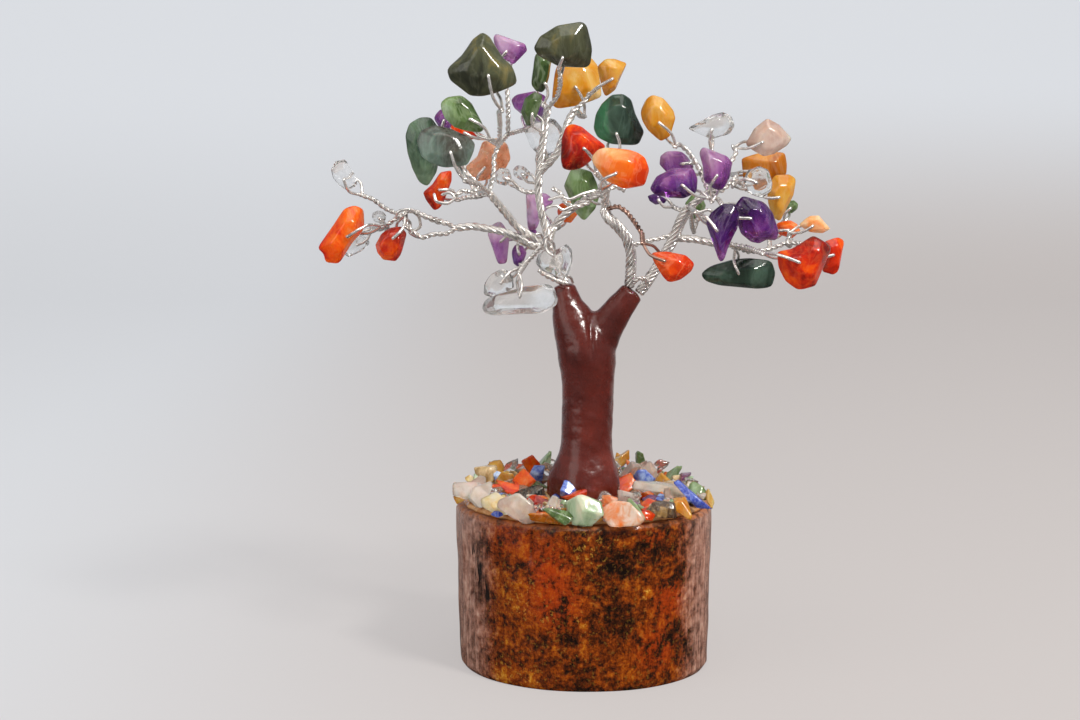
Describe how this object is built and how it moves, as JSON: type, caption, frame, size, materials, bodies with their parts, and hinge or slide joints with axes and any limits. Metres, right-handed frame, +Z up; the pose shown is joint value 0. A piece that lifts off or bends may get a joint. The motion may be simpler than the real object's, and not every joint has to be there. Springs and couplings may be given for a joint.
{
  "type": "gemstone tree ornament",
  "caption": "Miniature tree with drilled stone chips on twisted wire branches, a moulded clay trunk and a varnished log slice with a bed of small chips.",
  "frame": {"origin": "centre of the log's flat underside", "axes": "+Z up along the log's axis, +X to the viewer's right, +Y away from the viewer"},
  "size_m": [0.0715, 0.0394, 0.0877],
  "materials": {
    "log_wood": "varnished",
    "glue": "clear gloss",
    "clay": "gloss paint on moulded clay",
    "silver_wire": "bright drawn",
    "copper_wire": "bright drawn",
    "clear_quartz": "tumbled",
    "amethyst": "tumbled",
    "carnelian": "tumbled",
    "orange_agate": "tumbled",
    "yellow_quartz": "tumbled",
    "rose_quartz": "tumbled",
    "aventurine": "tumbled",
    "green_agate": "tumbled",
    "moss_agate": "tumbled",
    "grey_agate": "tumbled",
    "olive_jasper": "tumbled",
    "peach_aventurine": "tumbled",
    "lapis": "tumbled",
    "jasper": "tumbled"
  },
  "bodies": {
    "root": {"amethyst_banded": "amethyst", "amethyst_centre": "amethyst", "amethyst_kite": "amethyst", "amethyst_left_drops": "amethyst", "amethyst_right_back": "amethyst", "amethyst_right_low": "amethyst", "amethyst_tear": "amethyst", "amethyst_upper_left": "amethyst", "aventurine_centre": "aventurine", "aventurine_leaf": "aventurine", "aventurine_right_back": "aventurine", "aventurine_slips": "aventurine", "bed_amethyst": "amethyst", "bed_carnelian": "carnelian", "bed_green": "aventurine", "bed_jasper": "jasper", "bed_lapis": "lapis", "bed_quartz": "clear_quartz", "bed_rose": "rose_quartz", "bed_yellow": "yellow_quartz", "branch_centre": "silver_wire", "branch_left_high": "silver_wire", "branch_left_low": "silver_wire", "branch_right_high": "silver_wire", "branch_right_low": "silver_wire", "branch_right_mid": "silver_wire", "carnelian_centre": "carnelian", "carnelian_dark": "carnelian", "carnelian_right": "carnelian", "carnelian_right_tip": "carnelian", "carnelian_rod": "carnelian", "carnelian_upper_left": "carnelian", "glue_bed": "glue", "green_agate_egg": "green_agate", "green_agate_loaf": "green_agate", "grey_agate_slab": "grey_agate", "log_base": "log_wood", "moss_agate_bean": "moss_agate", "olive_jasper_kite": "olive_jasper", "olive_jasper_slab": "olive_jasper", "orange_agate_back": "orange_agate", "orange_agate_centre": "orange_agate", "orange_agate_hanging": "orange_agate", "orange_agate_right": "orange_agate", "peach_aventurine": "peach_aventurine", "quartz_centre": "clear_quartz", "quartz_left": "clear_quartz", "quartz_lower_left": "clear_quartz", "quartz_right": "clear_quartz", "rose_quartz_tip": "rose_quartz", "stem_left": "silver_wire", "stem_right_inner": "silver_wire", "stem_right_outer": "silver_wire", "trunk": "clay", "trunk_core": "silver_wire", "twig_hanging": "copper_wire", "twigs_quartz": "silver_wire", "yellow_quartz_right": "yellow_quartz", "yellow_quartz_right_tip": "yellow_quartz", "yellow_quartz_top": "yellow_quartz"}
  },
  "joints": []
}
